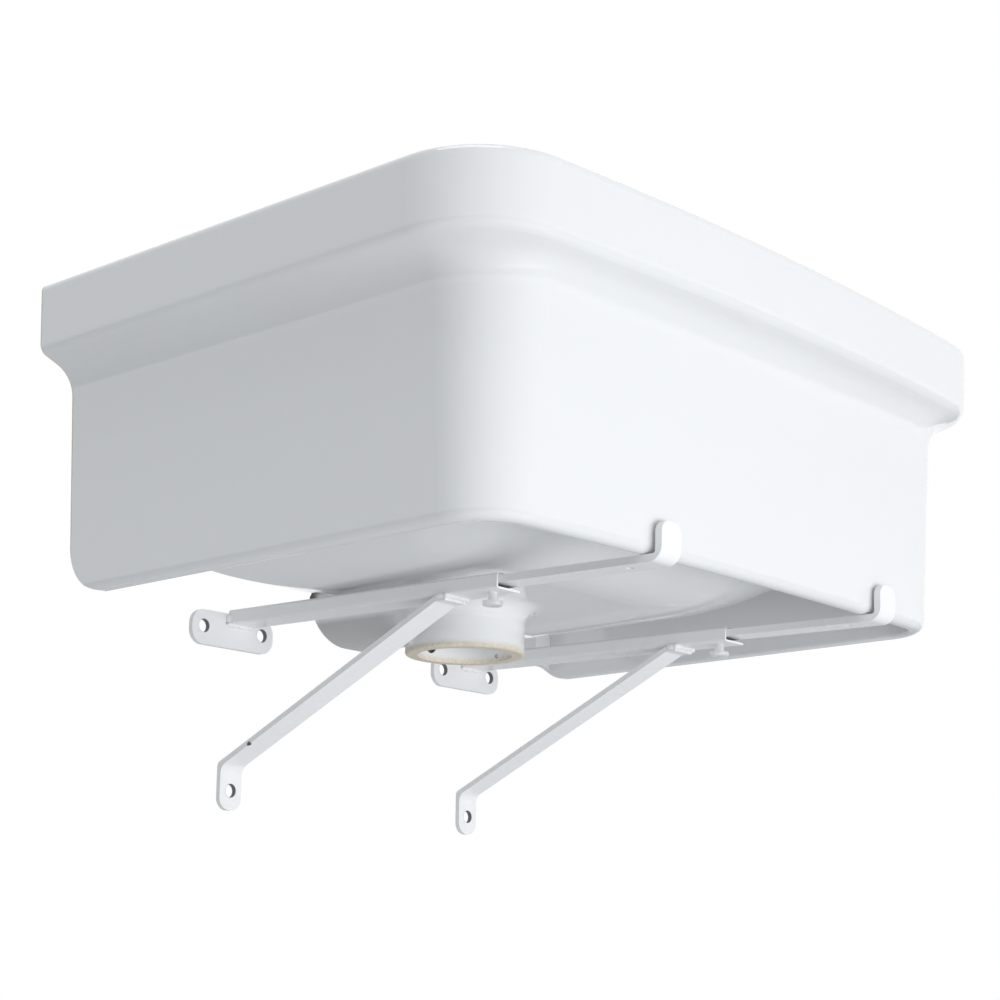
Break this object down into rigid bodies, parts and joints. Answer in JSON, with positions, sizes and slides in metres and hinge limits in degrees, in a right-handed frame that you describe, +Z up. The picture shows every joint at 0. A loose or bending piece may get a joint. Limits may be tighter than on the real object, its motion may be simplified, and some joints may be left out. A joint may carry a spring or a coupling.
{
  "type": "wall-hung washbasin",
  "caption": "Wall-hung ceramic basin with a bowed front, skirted underside and drain collar, carried on adjustable steel arms with hooked sliding bars.",
  "frame": {"origin": "on the wall plane, on the basin's centreline, at the height of the skirt's lower edge", "axes": "+X to the right seen from the room, +Y into the wall, +Z up"},
  "size_m": [0.5994, 0.4438, 0.3617],
  "materials": {
    "glazed_ceramic": "gloss glaze",
    "white_steel": "smooth white paint",
    "screw_steel": "bright zinc"
  },
  "bodies": {
    "brackets": {"left_wall_plate": "white_steel", "left_channel_arm": "white_steel", "left_strut": "white_steel", "right_wall_plate": "white_steel", "right_channel_arm": "white_steel", "right_strut": "white_steel"},
    "left_bar": {"left_hook_bar": "white_steel"},
    "right_bar": {"right_hook_bar": "white_steel"},
    "left_screw": {"left_lock_screw": "screw_steel"},
    "right_screw": {"right_lock_screw": "screw_steel"},
    "basin": {"basin": "glazed_ceramic"}
  },
  "joints": [
    {"name": "left_bar_slide", "type": "slide", "parent": "brackets", "child": "left_bar", "axis": [0, -0.9997, -0.0227], "range_m": [0, 0.06]},
    {"name": "right_bar_slide", "type": "slide", "parent": "brackets", "child": "right_bar", "axis": [0, -0.9997, -0.0227], "range_m": [0, 0.06]},
    {"name": "left_screw_slide", "type": "slide", "parent": "brackets", "child": "left_screw", "axis": [0, 0.0227, -0.9997], "range_m": [0, 0.001]},
    {"name": "right_screw_slide", "type": "slide", "parent": "brackets", "child": "right_screw", "axis": [0, 0.0227, -0.9997], "range_m": [0, 0.001]},
    {"name": "basin_lift", "type": "slide", "parent": "brackets", "child": "basin", "axis": [0, 0, 1], "range_m": [0, 0.06]}
  ]
}
